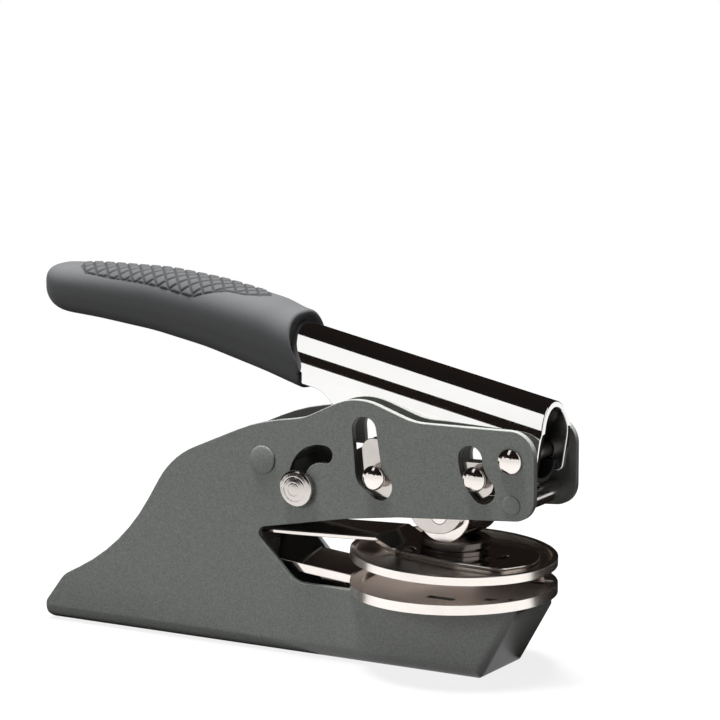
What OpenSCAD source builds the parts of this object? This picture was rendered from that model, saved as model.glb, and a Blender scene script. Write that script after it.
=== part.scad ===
// Hand-held seal embosser, drawn in the pose of a handle at rest.
// Millimetres. X runs forward to the jaws, Y across, Z up.
// The origin is on the desk, straight below the centre of the round dies.

/* [Shell] */
// outside width over the two side plates
body_w = 28; // [26:0.5:30]
// sheet thickness of the shell
sheet = 2; // [1.6:0.1:2.4]
// outside radius of the two long bottom bends
bend_r = 4.5; // [3:0.5:6]
// outside radius of the upright bends at the front wall
nose_bend_r = 3.5; // [2:0.5:5]
// rear end of the base
rear_x = -132.6; // [-136:0.2:-128]
// front end of the upper plates
nose_x = 32.9; // [32:0.1:34]
// top edge of the plates near the pivot
plate_top = 73.5; // [72:0.5:75]
// front face of the closed base wall
wall_x = 25.8; // [24:0.2:27]
// top edge of the base under the lower die
base_top = 21.7; // [20:0.1:21.8]
// bottom edge of the plates at the nose
jaw_z = 48.3; // [47.6:0.1:49]

/* [Pivots] */
// lever pivot, distance ahead of the die axis
pivot_x = 25.3; // [25:0.1:25.6]
// lever pivot, height
pivot_z = 64.9; // [64.6:0.1:65.2]
// shank radius of the pivot pin
pivot_r = 2.5; // [2.2:0.1:2.7]
// crank pin, behind the pivot
crank_dx = -11.1; // [-11.2:0.1:-11]
// crank pin, below the pivot
crank_dz = -6.2; // [-6.3:0.1:-6.1]
// shank radius of the crank pin
crank_r = 2.6; // [2.3:0.1:2.8]
// guide pin, behind the die axis
guide_x = -18.3; // [-18.4:0.1:-18.2]
// guide pin, height
guide_z = 55.7; // [55.6:0.1:55.8]
// shank radius of the guide pin
guide_r = 2.1; // [1.8:0.1:2.2]
// radius of the domed pin heads
head_r = 3.6; // [3.2:0.1:3.7]
// height of the domed pin heads
head_h = 1.9; // [1.4:0.1:2.4]
// half width of the pin slots in the plates
slot_r = 3.75; // [3.7:0.05:3.9]

/* [Press] */
// roller axis, ahead of the die axis
roller_x = 1.4; // [1.2:0.1:1.6]
// roller axis, height
roller_z = 46.4; // [46.3:0.1:46.6]
// roller radius
roller_r = 8.5; // [8:0.1:8.6]
// roller length
roller_l = 19; // [17:0.2:19.2]
// axle shank radius
axle_r = 2.5; // [2:0.1:3]
// link ear thickness
ear_t = 1.8; // [1.5:0.1:2]
// distance from the middle to the inner face of a link ear
ear_in = 9.9; // [9.8:0.05:10]

/* [Lever] */
// outside width of the lever channel
lever_w = 19.2; // [18:0.2:19.2]
// sheet thickness of the lever
lever_t = 2; // [1.6:0.1:2.4]
// height of the egg-shaped back of the lever
lever_rise = 12.5; // [11:0.5:14]
// front end of the lever
lever_front = 32.5; // [32:0.1:33]
// rear end of the lever, inside the grip
lever_rear = -76; // [-78:0.5:-70]
// height of the lever back at its front end
lever_top = 80.4; // [79:0.2:82]
// fall of the lever towards the front, degrees
lever_fall = 11.1; // [10:0.1:12]
// width of the rubber grip
grip_w = 22; // [21:0.5:24]
// edge rounding of the grip
grip_round = 6; // [4:0.5:7]

/* [Dies] */
// radius of both round die plates
disc_r = 30; // [28:0.5:30]
// underside of the lower die plate
lower_z = 21.9; // [21.8:0.1:22.2]
// thickness of the lower die plate
lower_t = 2.9; // [2.5:0.1:3]
// radius of the recess that takes a die
seat_r = 26.2; // [25.5:0.1:26.5]
// depth of the lower recess
seat_d = 0.8; // [0.5:0.1:1]
// underside of the upper die plate on the die axis
upper_z = 30.95; // [30.8:0.05:31.2]
// thickness of the upper die plate at its rim
upper_t = 2.6; // [2.4:0.1:2.8]
// nose-down tilt of the upper die plate, degrees
upper_tilt = 2.3; // [2:0.1:2.5]
// thickness of the end plate on the upper die
plate_t = 1.5; // [1.3:0.1:1.6]
// radius of the pressed button
button_r = 10.3; // [9.5:0.1:10.4]

/* [Arms] */
// width of both arms at the heel
arm_w = 20; // [18:0.5:21]
// thickness of the upper spring arm
upper_arm_t = 1.4; // [1.2:0.1:1.6]
// thickness of the lower arm
lower_arm_t = 2.7; // [2.4:0.1:2.8]
// where the upper arm leaves the heel and starts to bend
flex_x = -64; // [-65:0.5:-63]
// underside of the upper arm at that line
flex_z = 34; // [33.8:0.1:34.2]
// rear end of the heel
heel_x = -80; // [-82:0.5:-76]

/* [Lock] */
// centre of the lock slot's arc, along
lock_cx = -36.1; // [-36.3:0.1:-35.9]
// centre of the lock slot's arc, height
lock_cz = 52.8; // [52.6:0.1:53]
// radius of that arc
lock_arc = 7.9; // [7.7:0.1:8.1]
// angle of the lock pin on the arc, degrees from forward
lock_at = 200; // [198:1:204]
// sweep of the lock pin, degrees
lock_sweep = 117; // [110:1:118]
// lock pin radius
lock_r = 2.1; // [1.8:0.1:2.2]
// knob radius
knob_r = 5.4; // [5:0.1:5.6]

/* [View] */
// sub-part to show

/* [Hidden] */
$fn = 64;
eps = 0.01;
fit = 0.05;       // clearance of parts riveted to each other
running = 0.06;   // clearance of parts that turn on a pin
half = body_w / 2;
inside = half - sheet;
head_gap = 0.3;   // pin heads that move stand off the plates
paint = [0.36, 0.38, 0.38];
chrome = [0.86, 0.86, 0.86];
nickel = [0.80, 0.77, 0.74];
dark = [0.12, 0.12, 0.12];
rubber = [0.22, 0.23, 0.24];
crank = [pivot_x + crank_dx, pivot_z + crank_dz];
guide = [guide_x, guide_z];
roller = [roller_x, roller_z];
tie_front = [25.8, 52.3];
tie_rear = [-55.6, 57.1];
tie_r = 2.2;
spacer_r = 3.1;
plate_z = upper_z + 1.65;          // underside of the end plate on the die axis
rear_slope = tan(2.6);             // rise of the upper arm
arm_rivet_x = -10.6;               // rivets of the end plate, on the upper die plate
arm_rivet_y = 8.2;
tongue_z = 20.9;                   // underside of the tongue below the lower die plate

// ---------- helpers ----------

// arc points of a corner p[i] = [x, z, radius] between its neighbours
function unit(v) = v / norm(v);
function corner(a, b, c) =
    let (u = unit([a[0] - b[0], a[1] - b[1]]), v = unit([c[0] - b[0], c[1] - b[1]]),
         ang = acos(max(-1, min(1, u * v))) / 2, at = [b[0], b[1]], run = b[2] / tan(ang),
         q = at + unit(u + v) * b[2] / sin(ang), p0 = at + u * run - q, p1 = at + v * run - q,
         a0 = atan2(p0[1], p0[0]), a1 = atan2(p1[1], p1[0]),
         d = ((a1 - a0) % 360 + 540) % 360 - 180, n = max(1, round(abs(d) / 5)))
    [for (i = [0:n]) q + b[2] * [cos(a0 + d * i / n), sin(a0 + d * i / n)]];
function rounded(p) = let (n = len(p))
    [for (i = [0:n - 1]) each (p[i][2] > 0 ? corner(p[(i + n - 1) % n], p[i], p[(i + 1) % n])
                                          : [[p[i][0], p[i][1]]])];

// side profile in X and Z, spread over y0 to y1
module side(y0, y1) {
    translate([0, y1, 0]) rotate([90, 0, 0]) linear_extrude(y1 - y0) children();
}
// cylinder across the press at p = [x, z]
module across(p, r, y0, y1) {
    translate([p[0], y1, p[1]]) rotate([90, 0, 0]) cylinder(r = r, h = y1 - y0);
}
// arc of n steps, without its last point
function arc_pts(c, r, a0, a1, n) =
    [for (i = [0:n - 1]) c + r * [cos(a0 + (a1 - a0) * i / n), sin(a0 + (a1 - a0) * i / n)]];
// outline of a curved slot about c from angle a0 to a1
function arc_slot(c, rad, a0, a1, r) =
    concat(arc_pts(c, rad + r, a0, a1, 16), arc_pts(c + rad * [cos(a1), sin(a1)], r, a1, a1 + 180, 12),
           arc_pts(c, rad - r, a1, a0, 16), arc_pts(c + rad * [cos(a0), sin(a0)], r, a0 + 180, a0 + 360, 12));
// domed head with its flat at y = 0, swelling towards -Y
module dome(r, h) {
    big = (r * r + h * h) / (2 * h);
    intersection() {
        translate([0, big - h, 0]) sphere(big, $fn = 96);
        translate([0, 0, 0]) rotate([90, 0, 0]) cylinder(r = r, h = h + 1);
    }
}
module heads(p, r, h, y) {
    translate([p[0], -y, p[1]]) dome(r, h);
    translate([p[0], y, p[1]]) mirror([0, 1, 0]) dome(r, h);
}
module tube(p, r_out, r_in, y0, y1) {
    difference() {
        across(p, r_out, y0, y1);
        across(p, r_in, y0 - 1, y1 + 1);
    }
}

// ---------- shell ----------

module shell_side2d() {
    difference() {
        polygon(rounded([
            [rear_x, 0, 2.5], [rear_x, 5.6, 2.5], [-126, 14.5, 9], [-104.7, 25.8, 64],
            [-87.2, 54.9, 28], [-57.9, 68, 60], [-41.8, 70.8, 18], [-24.7, 79.2, 19],
            [-5.6, plate_top - 0.6, 20], [nose_x, plate_top + 0.2, 7.5], [nose_x, jaw_z, 6.5],
            [-19.7, 44.1, 160], [-59.3, 36.4, 2.2], [-45.2, base_top, 7],
            [wall_x, base_top, 0.8], [wall_x, 18.5, 5], [15.3, 0, 4]]));
        // L-shaped lock slot, an arc for the lock pin
        polygon(arc_slot([lock_cx, lock_cz], lock_arc, lock_at - lock_sweep - 2, lock_at, 2.6));
        // guide slot: long upright part and a short lower lobe
        polygon(rounded([[-25.98, 72.5, 3.7], [-24.3, 52.9, 6], [-15, 48.03, 3.6],
            [-11.4, 54.7, 3.6], [-15.9, 57.2, 0.8], [-18.5, 73.2, 3.6]]));
        // crank slot about the pivot
        polygon(arc_slot([pivot_x, pivot_z], norm([crank_dx, crank_dz]), 183, 228, slot_r));
    }
}
module body_shell() color(paint) difference() {
    intersection() {
        side(-half, half) shell_side2d();
        // bends along the two bottom edges
        translate([-150, 0, 0]) rotate([90, 0, 90]) linear_extrude(200)
            polygon(rounded([[-half, 0, bend_r], [half, 0, bend_r], [half, 100, 0], [-half, 100, 0]]));
    }
    // hollow between the plates, open at the top, the rear and the jaws
    intersection() {
        side(-inside, inside) polygon([[-150, sheet], [14.1, sheet], [wall_x - sheet, 19.05],
            [wall_x - sheet, 40], [60, 40], [60, 120], [-150, 120]]);
        translate([-151, 0, sheet]) rotate([90, 0, 90]) linear_extrude(220)
            polygon(rounded([[-inside, 0, bend_r - sheet], [inside, 0, bend_r - sheet],
                [inside, 120, 0], [-inside, 120, 0]]));
    }
    for (s = [-1, 1]) corner_cut(s);
    // shallow notch in the front wall for the tongue of the sliding insert
    translate([15, -10, tongue_z - 0.8]) cube([20, 20, 3]);
    across([pivot_x, pivot_z], pivot_r + fit, -half - 1, half + 1);
    across(tie_front, tie_r + fit, -half - 1, half + 1);
    across(tie_rear, tie_r + fit, -half - 1, half + 1);
}
// rounds one front corner: the upright part of the wall and the slanting part below it
module corner_cut(s) {
    r = nose_bend_r;
    cut = r + 0.03;
    translate([wall_x - r, s * (half - r), 0]) difference() {
        translate([0, s > 0 ? 0 : -r - 1, 17.5]) cube([r + 1, r + 1, 8]);
        translate([0, 0, 15]) cylinder(r = cut, h = 12);
    }
    translate([15.3, s * (half - r), 0]) rotate([0, atan2(wall_x - 15.3, 18.5), 0]) translate([-r, 0, 0])
        difference() {
            translate([0, s > 0 ? 0 : -r - 1, -3]) cube([r + 2, r + 1, 24.3]);
            translate([0, 0, -4]) cylinder(r = cut, h = 27);
        }
}

// a tie rivet: shank through both plates and a head each side
module tie(p, r, h) {
    across(p, tie_r, -half, half);
    heads(p, r, h, half);
}
module front_tie_rivet() color(paint) tie(tie_front, 3.1, 0.35);
module rear_tie_rivet() color(paint) tie(tie_rear, 4.15, 1.1);
module front_spacer() color(nickel) tube(tie_front, spacer_r, tie_r + fit, -inside, inside);
module rear_spacer() color(nickel) tube(tie_rear, spacer_r + 0.4, tie_r + fit, -inside, inside);

module pivot_pin() color(nickel) {
    across([pivot_x, pivot_z], pivot_r, -half, half);
    heads([pivot_x, pivot_z], head_r + 0.15, head_h, half);
}
module pivot_spacer(s) {
    y0 = lever_w / 2 + 0.2;
    tube([pivot_x, pivot_z], 4.6, pivot_r + fit, s > 0 ? y0 : -inside, s > 0 ? inside : -y0);
}
module pivot_spacer_near() color(nickel) pivot_spacer(-1);
module pivot_spacer_far() color(nickel) pivot_spacer(1);

// ---------- lever ----------

// half an ellipse on upright walls, with its top at 0
module arch2d(w, rise, depth) {
    polygon([[-w / 2, -depth], [w / 2, -depth],
        for (t = [0:5:180]) [w / 2 * cos(t), rise * (sin(t) - 1)]]);
}
// lever envelope, straight from the front end into the grip
module lever_run(w, rise, drop) {
    translate([lever_front + 20, 0, lever_top - 20 * tan(lever_fall) - drop])
        rotate([0, lever_fall, 0]) translate([-180, 0, 0])
            rotate([90, 0, 90]) linear_extrude(200) arch2d(w, rise, 80);
}
module lever_side2d() {
    polygon(rounded([
        [lever_rear, 120, 0], [lever_rear, 92.4, 1], [-64, 89.2, 10], [-45.2, 83, 0], [-45.2, 79.7, 0.5],
        [-38.5, 78.5, 9], [-31.9, 71.4, 2], [-31.8, 67.7, 0.8], [-39.5, 67.7, 1.2], [-39.5, 63.9, 1.2],
        [-31, 63.9, 2], [-28, 64.2, 6], [-8, 64.3, 6], [4, 62, 6], [8, 58.2, 2], [22, 58.5, 3],
        [lever_front - 1.9, 58.9, 2], [lever_front + 0.2, 72, 10], [lever_front - 0.6, 82, 0],
        [lever_front - 0.6, 120, 0]]));
}
module lever_channel() color(chrome) difference() {
    union() {
        intersection() {
            side(-lever_w / 2, lever_w / 2) lever_side2d();
            lever_run(lever_w, lever_rise, 0);
        }
        // ears for the crank pin
        across(crank, 5, -lever_w / 2, lever_w / 2);
    }
    lever_run(lever_w - 2 * lever_t, lever_rise - lever_t, lever_t);
    across(crank, crank_r + fit, -20, 20);
    across([pivot_x, pivot_z], pivot_r + running, -20, 20);
}
// dark strip bent across between the lever walls below the pivot
module front_bumper() color(dark) {
    w = lever_w / 2 - lever_t - fit;
    h = 5.4;
    translate([22.2, 0, 62.2]) rotate([90, 0, 90]) linear_extrude(6.6)
        polygon([for (t = [180:6:360]) [w * cos(t), h * sin(t)],
            for (t = [360:-6:180]) [(w - 1.3) * cos(t), (h - 1.3) * sin(t)]]);
}

// ---------- grip ----------

// one section of the grip: four balls at its corners
module grip_section(x, top, bottom, w) {
    for (sy = [-1, 1], z = [top - grip_round, bottom + grip_round])
        translate([x, sy * (w / 2 - grip_round), z]) sphere(grip_round, $fn = 28);
}
module grip() color(rubber) difference() {
    union() {
        hull() {
            grip_section(-134.5, 107.6, 94.6, grip_w - 5);
            grip_section(-118, 108.4, 93.2, grip_w - 2);
        }
        hull() {
            grip_section(-118, 108.4, 93.2, grip_w - 2);
            grip_section(-98, 108.7, 91.1, grip_w - 0.8);
        }
        hull() {
            grip_section(-98, 108.7, 91.1, grip_w - 0.8);
            grip_section(-80, 107.2, 88, grip_w);
        }
        hull() {
            grip_section(-80, 107.2, 88, grip_w);
            grip_section(-62, 104.2, 83.2, grip_w);
        }
        hull() {
            grip_section(-62, 104.2, 83.2, grip_w);
            grip_section(-41, 99.3, 77.6, grip_w);
        }
    }
    // front end face, leaning a little
    translate([-45.2, -20, 88]) rotate([0, 6, 0]) translate([0, 0, -40]) cube([40, 40, 80]);
    // room for the lever
    intersection() {
        lever_run(lever_w + 2 * fit, lever_rise + fit, -fit);
        side(-10, 10) polygon([[lever_rear - fit, 120], [lever_rear - fit, 92.2], [-64, 88.9],
            [-45.4, 82.6], [-45.4, 74], [-30, 74], [-30, 120]]);
    }
}

module crank_pin() color(nickel) {
    across(crank, crank_r, -half - head_gap, half + head_gap);
    heads(crank, head_r, head_h, half + head_gap);
}

// ---------- press link ----------

module link_side2d() {
    polygon(rounded([[-22.7, 51.6, 3.8], [-8.6, 47.2, 5], [-6.6, 40.9, 7.5], [7.5, 40.9, 8.2],
        [9.6, 50, 10], [19.2, 54.6, 4.4], [18.3, 63.2, 4], [-3, 62.6, 20], [-13, 66.6, 6], [-24.3, 66.6, 3.8]]));
}
module link_ear(y0) difference() {
    side(y0, y0 + ear_t) link_side2d();
    across(guide, guide_r + fit, y0 - 1, y0 + 5);
    across(crank, crank_r + running, y0 - 1, y0 + 5);
    across(roller, axle_r + fit, y0 - 1, y0 + 5);
}
module link_near() color(nickel) link_ear(-ear_in - ear_t);
module link_far() color(nickel) link_ear(ear_in);
module guide_pin() color(nickel) {
    across(guide, guide_r, -half - head_gap, half + head_gap);
    heads(guide, head_r - 0.05, head_h, half + head_gap);
}
module guide_spacer() color(nickel) tube(guide, 3.5, guide_r + fit, -ear_in, ear_in);
module roller_axle() color(nickel) {
    across(roller, axle_r, -ear_in - ear_t, ear_in + ear_t);
}
module press_roller() color(chrome) {
    difference() {
        across(roller, roller_r, -roller_l / 2, roller_l / 2);
        across(roller, axle_r + running, -roller_l, roller_l);
    }
}

// ---------- upper die and its arm ----------

// turns the upper parts about the die axis into their nose-down tilt
module tilted() {
    translate([0, 0, upper_z]) rotate([0, upper_tilt, 0]) translate([0, 0, -upper_z]) children();
}
module upper_disc() color(nickel) tilted() difference() {
    translate([0, 0, upper_z]) cylinder(r = disc_r, h = upper_t, $fn = 128);
    // dished top inside a raised rim
    translate([0, 0, plate_z]) cylinder(r = disc_r - 1.8, h = 5, $fn = 128);
    // seat for a die
    translate([0, 0, upper_z - 1]) cylinder(r = seat_r, h = 1.5, $fn = 128);
    for (s = [-1, 1]) translate([arm_rivet_x, s * arm_rivet_y, upper_z - 1]) cylinder(r = 1.5 + fit, h = 6);
}
// end plate outline: a rounded shield, wide at the rear, narrower at the front
module shield2d() {
    polygon(rounded([[-13.5, -arm_w / 2, 0.5], [-11, -11.5, 3], [8, -13.6, 22], [21.5, -12.5, 5.5], [27, 0, 14],
        [21.5, 12.5, 5.5], [8, 13.6, 22], [-11, 11.5, 3], [-13.5, arm_w / 2, 0.5]]));
}
// arm and joggle in side view; the end plate joins it at the front
module arm_side2d() {
    x1 = -21;
    z1 = flex_z + (x1 - flex_x) * rear_slope;
    zp = plate_z + 15.8 * tan(upper_tilt) + 0.03;
    zq = plate_z + 12.8 * tan(upper_tilt) + 0.03;
    polygon([[flex_x + 0.3, flex_z], [x1, z1], [-15.8, zp], [-12.8, zq],
        [-12.8, zq + plate_t - 0.1], [-15, zp + plate_t - 0.05], [x1 + 0.8, z1 + upper_arm_t],
        [flex_x + 0.3, flex_z + upper_arm_t]]);
}
module upper_arm() color(nickel) difference() {
    union() {
        side(-arm_w / 2, arm_w / 2) arm_side2d();
        tilted() translate([0, 0, plate_z]) linear_extrude(plate_t) shield2d();
    }
    tilted() {
        for (s = [-1, 1]) translate([arm_rivet_x, s * arm_rivet_y, plate_z - 1]) cylinder(r = 1.5 + fit, h = 4);
        translate([0, 0, plate_z - 1]) cylinder(r = 3 + fit, h = 4);
        // small oblong hole near the front
        translate([15.6, 0, plate_z - 1]) linear_extrude(4)
            polygon(rounded([[-1.2, -2.6, 1.1], [1.2, -2.6, 1.1], [1.2, 2.6, 1.1], [-1.2, 2.6, 1.1]]));
    }
}
module arm_rivet(s) {
    tilted() translate([arm_rivet_x, s * arm_rivet_y, 0]) {
        translate([0, 0, upper_z + 0.55]) cylinder(r = 1.5, h = plate_z + plate_t - upper_z - 0.55);
        translate([0, 0, plate_z + plate_t]) rotate([-90, 0, 0]) dome(2.3, 0.9);
    }
}
module arm_rivet_near() color(nickel) arm_rivet(-1);
module arm_rivet_far() color(nickel) arm_rivet(1);
module boss_flange() color(dark) tilted() difference() {
    union() {
        translate([0, 0, plate_z + plate_t]) cylinder(r = button_r - 0.4, h = 1.3, $fn = 96);
        translate([0, 0, plate_z + plate_t]) cylinder(r = button_r - 1.7, h = 2.2, $fn = 96);
        translate([0, 0, plate_z + 0.02]) cylinder(r = 3, h = plate_t);
    }
    translate([0, 0, plate_z - 1]) cylinder(r = 1.6 + fit, h = 8);
}
module button() color(dark) tilted() difference() {
    base = plate_z + plate_t + 2.2;
    union() {
        translate([0, 0, base]) cylinder(r = button_r, h = 1.55, $fn = 96);
        translate([0, 0, plate_z + 0.1]) cylinder(r = 1.6, h = base - plate_z);
    }
    // dished face
    translate([0, 0, base + 1.55 + 76 - 0.7]) sphere(76, $fn = 192);
}

// ---------- insert: lower arm, lower die, heel ----------

function lower_arm_top(x) = 28.3 - (x - flex_x) * tan(5.2);
module lower_arm() color(nickel) difference() {
    union() {
        // arm behind the die plate
        difference() {
            side(-arm_w / 2, arm_w / 2) polygon([[heel_x, 28.3], [heel_x, 28.3 - lower_arm_t],
                [flex_x, 28.3 - lower_arm_t], [-24, lower_arm_top(-24) - lower_arm_t],
                [-24, lower_arm_top(-24)], [flex_x, 28.3]]);
            translate([0, 0, 10]) cylinder(r = disc_r + 0.05, h = 30, $fn = 128);
        }
        // tongue stepped down under it
        side(-9, 9) polygon([[-41, 24.5], [-37, tongue_z], [10, tongue_z], [10, lower_z - 0.05],
            [-30.6, lower_z - 0.05], [-34, 24.8]]);
    }
    for (x = [heel_x + 4, flex_x - 4]) translate([x, 0, 20]) cylinder(r = 2 + fit, h = 20);
    for (s = [-1, 1]) translate([-8, s * 5, 15]) cylinder(r = 1.5 + fit, h = 20);
}
module lower_disc() color(nickel) difference() {
    translate([0, 0, lower_z]) cylinder(r = disc_r, h = lower_t, $fn = 128);
    translate([0, 0, lower_z + lower_t - seat_d]) cylinder(r = seat_r, h = 5, $fn = 128);
    // four slots that hold a die
    for (s = [-1, 1]) {
        translate([5.4 - 4.25, s * 17.6 - 1.3, lower_z - 1]) cube([8.5, 2.6, 6]);
        translate([21.2 - 4.25, s * 12.6 - 1.3, lower_z - 1]) cube([8.5, 2.6, 6]);
        translate([-8, s * 5, lower_z - 1]) cylinder(r = 1.5 + fit, h = 6);
    }
}
module tongue_rivet(s) {
    translate([-8, s * 5, tongue_z]) cylinder(r = 1.5, h = lower_z + lower_t - seat_d - tongue_z);
    translate([-8, s * 5, tongue_z - 0.4]) cylinder(r = 2.4, h = 0.4);
}
module tongue_rivet_near() color(nickel) tongue_rivet(-1);
module tongue_rivet_far() color(nickel) tongue_rivet(1);
module heel_block() color(nickel) difference() {
    translate([heel_x, -arm_w / 2, 28.3]) cube([flex_x - heel_x, arm_w, flex_z - 28.3]);
    for (x = [heel_x + 4, flex_x - 4]) translate([x, 0, 20]) cylinder(r = 2 + fit, h = 20);
}
module arm_root() color(nickel) difference() {
    translate([heel_x, -arm_w / 2, flex_z]) cube([flex_x - heel_x - 0.1, arm_w, upper_arm_t]);
    for (x = [heel_x + 4, flex_x - 4]) translate([x, 0, 20]) cylinder(r = 2 + fit, h = 20);
}
module heel_rivet(x) {
    z0 = 28.3 - lower_arm_t;
    z1 = flex_z + upper_arm_t;
    translate([x, 0, z0]) cylinder(r = 2, h = z1 - z0);
    translate([x, 0, z1]) cylinder(r = 3.2, h = 0.9);
    translate([x, 0, z0 - 0.9]) cylinder(r = 3.2, h = 0.9);
}
module heel_rivet_rear() color(nickel) heel_rivet(heel_x + 4);
module heel_rivet_front() color(nickel) heel_rivet(flex_x - 4);

// ---------- lock ----------

lock_p = [lock_cx + lock_arc * cos(lock_at), lock_cz + lock_arc * sin(lock_at)];
module lock_pin() color(nickel) across(lock_p, lock_r, -half - 1.6, half + 0.3);
module lock_knob() color(nickel) difference() {
    y = half + 0.3;
    union() {
        across(lock_p, knob_r, -y - 2.2, -y);
        translate([lock_p[0], -y - 2.2, lock_p[1]]) dome(knob_r, 0.9);
    }
    across(lock_p, lock_r + fit, -half - 1.65, 0);
    // turned grooves in the face
    for (r = [1.9, 3.6]) translate([lock_p[0], -y - 5 - 2.55, lock_p[1]]) rotate([-90, 0, 0])
        difference() {
            cylinder(r = r + 0.35, h = 5);
            translate([0, 0, -1]) cylinder(r = r, h = 7);
        }
}
module lock_washer() color(nickel) {
    y = half + 0.3;
    difference() {
        across(lock_p, 4.2, y, y + 1);
        across(lock_p, lock_r + fit, y - 1, y + 2);
    }
}
module lock_far_head() color(nickel) {
    y = half + 0.3;
    across(lock_p, lock_r, y + eps, y + 1);
    translate([lock_p[0], y + 1, lock_p[1]]) mirror([0, 1, 0]) dome(3.2, 1.2);
}

body_shell();
front_tie_rivet();
rear_tie_rivet();
front_spacer();
rear_spacer();
pivot_pin();
pivot_spacer_near();
pivot_spacer_far();
lever_channel();
front_bumper();
grip();
crank_pin();
link_near();
link_far();
guide_pin();
guide_spacer();
roller_axle();
press_roller();
upper_disc();
upper_arm();
arm_rivet_near();
arm_rivet_far();
boss_flange();
button();
lower_arm();
lower_disc();
tongue_rivet_near();
tongue_rivet_far();
heel_block();
arm_root();
heel_rivet_rear();
heel_rivet_front();
lock_pin();
lock_knob();
lock_washer();
lock_far_head();
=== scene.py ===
import bmesh
import bpy
import numpy as np
from mathutils import Matrix, Vector


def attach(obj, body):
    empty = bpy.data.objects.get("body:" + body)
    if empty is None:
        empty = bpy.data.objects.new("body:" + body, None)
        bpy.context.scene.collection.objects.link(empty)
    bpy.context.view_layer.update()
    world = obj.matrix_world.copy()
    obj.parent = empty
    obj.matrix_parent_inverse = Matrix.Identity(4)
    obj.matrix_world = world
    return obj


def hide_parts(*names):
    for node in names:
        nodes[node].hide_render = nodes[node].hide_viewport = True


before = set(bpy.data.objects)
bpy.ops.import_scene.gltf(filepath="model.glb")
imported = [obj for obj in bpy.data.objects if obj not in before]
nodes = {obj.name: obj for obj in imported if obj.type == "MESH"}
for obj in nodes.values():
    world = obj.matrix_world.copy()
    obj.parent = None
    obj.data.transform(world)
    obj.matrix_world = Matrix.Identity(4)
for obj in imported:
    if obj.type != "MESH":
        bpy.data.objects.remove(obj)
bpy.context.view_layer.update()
mm = 0.001

shot = {
    "azimuth": 29.815,      # degrees from straight on, towards the jaws
    "elevation": 10.349,
    "distance": 1.1,
    "target": (-0.0311, 0.0, 0.086466),
    "lens": 190.28,
}


def placed(name, data):
    thing = bpy.data.objects.new(name, data)
    bpy.context.scene.collection.objects.link(thing)
    return thing


def placeCamera():
    # the camera looks at the target along the direction given by the two angles
    a, e = np.radians(shot["azimuth"]), np.radians(shot["elevation"])
    back = Vector((np.sin(a) * np.cos(e), -np.cos(a) * np.cos(e), np.sin(e)))
    right = Vector((np.cos(a), np.sin(a), 0))
    up = back.cross(right)
    data = bpy.data.cameras.new("pressCamera")
    data.lens, data.sensor_width, data.clip_start, data.clip_end = shot["lens"], 36, 0.05, 30
    cam = placed("pressCamera", data)
    turn = Matrix((right, up, back)).transposed().to_4x4()
    cam.matrix_world = Matrix.Translation(Vector(shot["target"]) + back * shot["distance"]) @ turn
    bpy.context.scene.camera = cam


placeCamera()
print("camera placed")

studio = {
    "worldLevel": 0.12,
    "floorSize": 12.0,
    "floorShare": 0.84,             # how much of the near floor is plain white, the rest takes the shadow
    "shadowReach": (0.12, 0.5),     # from here to here the floor goes over to plain white, in metres
    "floorTone": 0.25,              # matte floor where it is looked at
    "bounceTone": 0.06,             # matte floor where it would only throw light back up
    # name: place, aim, size and power of a lamp
    "lamps": {
        "topLight": ((-0.18, 0.07, 1.3), (-0.03, 0, 0.05), (0.6, 0.4), 160.0),
        "frontLight": ((-0.55, -1.05, 0.42), (-0.05, 0, 0.05), (0.5, 0.5), 9.8),
    },
    "dark": (0.012, 0.009, 0.008),  # tone of the dark cards
    "cardGrid": (33, 17),           # points of a dark card along and up
    "cardHeight": 0.06,             # height of the point that the cards stand round
    "flatHeight": 0.0004,           # height of the card that lies on the floor
}


def mathNode(tree, operation, a, b=None):
    node = tree.nodes.new("ShaderNodeMath")
    node.operation = operation
    for i, value in enumerate((a, b)):
        if value is None:
            continue
        if isinstance(value, (int, float)):
            node.inputs[i].default_value = value
        else:
            tree.links.new(value, node.inputs[i])
    return node.outputs[0]


def mixColours(tree, fac, a, b):
    node = tree.nodes.new("ShaderNodeMix")
    node.data_type = "RGBA"
    node.inputs["A"].default_value = (*a, 1)
    node.inputs["B"].default_value = (*b, 1)
    tree.links.new(fac, node.inputs["Factor"])
    return node.outputs["Result"]


def mapRange(tree, value, low, high, to=(0.0, 1.0)):
    node = tree.nodes.new("ShaderNodeMapRange")
    node.inputs["From Min"].default_value, node.inputs["From Max"].default_value = low, high
    node.inputs["To Min"].default_value, node.inputs["To Max"].default_value = to
    tree.links.new(value, node.inputs["Value"])
    return node.outputs["Result"]


def emptyTree(owner):
    owner.use_nodes = True
    owner.node_tree.nodes.clear()
    return owner.node_tree


def rayKind(tree):
    # 1 for rays from the camera, from polished metal or through glass
    path = tree.nodes.new("ShaderNodeLightPath")
    seen = mathNode(tree, "MAXIMUM", path.outputs["Is Camera Ray"], path.outputs["Is Glossy Ray"])
    return mathNode(tree, "MAXIMUM", seen, path.outputs["Is Transmission Ray"])


def paleWorld():
    # plain white where it is looked at, much weaker as light
    world = bpy.data.worlds.new("paleStudio")
    bpy.context.scene.world = world
    tree = emptyTree(world)
    out = tree.nodes.new("ShaderNodeOutputWorld")
    seen = tree.nodes.new("ShaderNodeBackground")
    lit = tree.nodes.new("ShaderNodeBackground")
    for part, level in ((seen, 1.0), (lit, studio["worldLevel"])):
        part.inputs["Color"].default_value = (1, 1, 1, 1)
        part.inputs["Strength"].default_value = level
    mix = tree.nodes.new("ShaderNodeMixShader")
    tree.links.new(rayKind(tree), mix.inputs["Fac"])
    tree.links.new(lit.outputs[0], mix.inputs[1])
    tree.links.new(seen.outputs[0], mix.inputs[2])
    tree.links.new(mix.outputs[0], out.inputs["Surface"])


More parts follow.
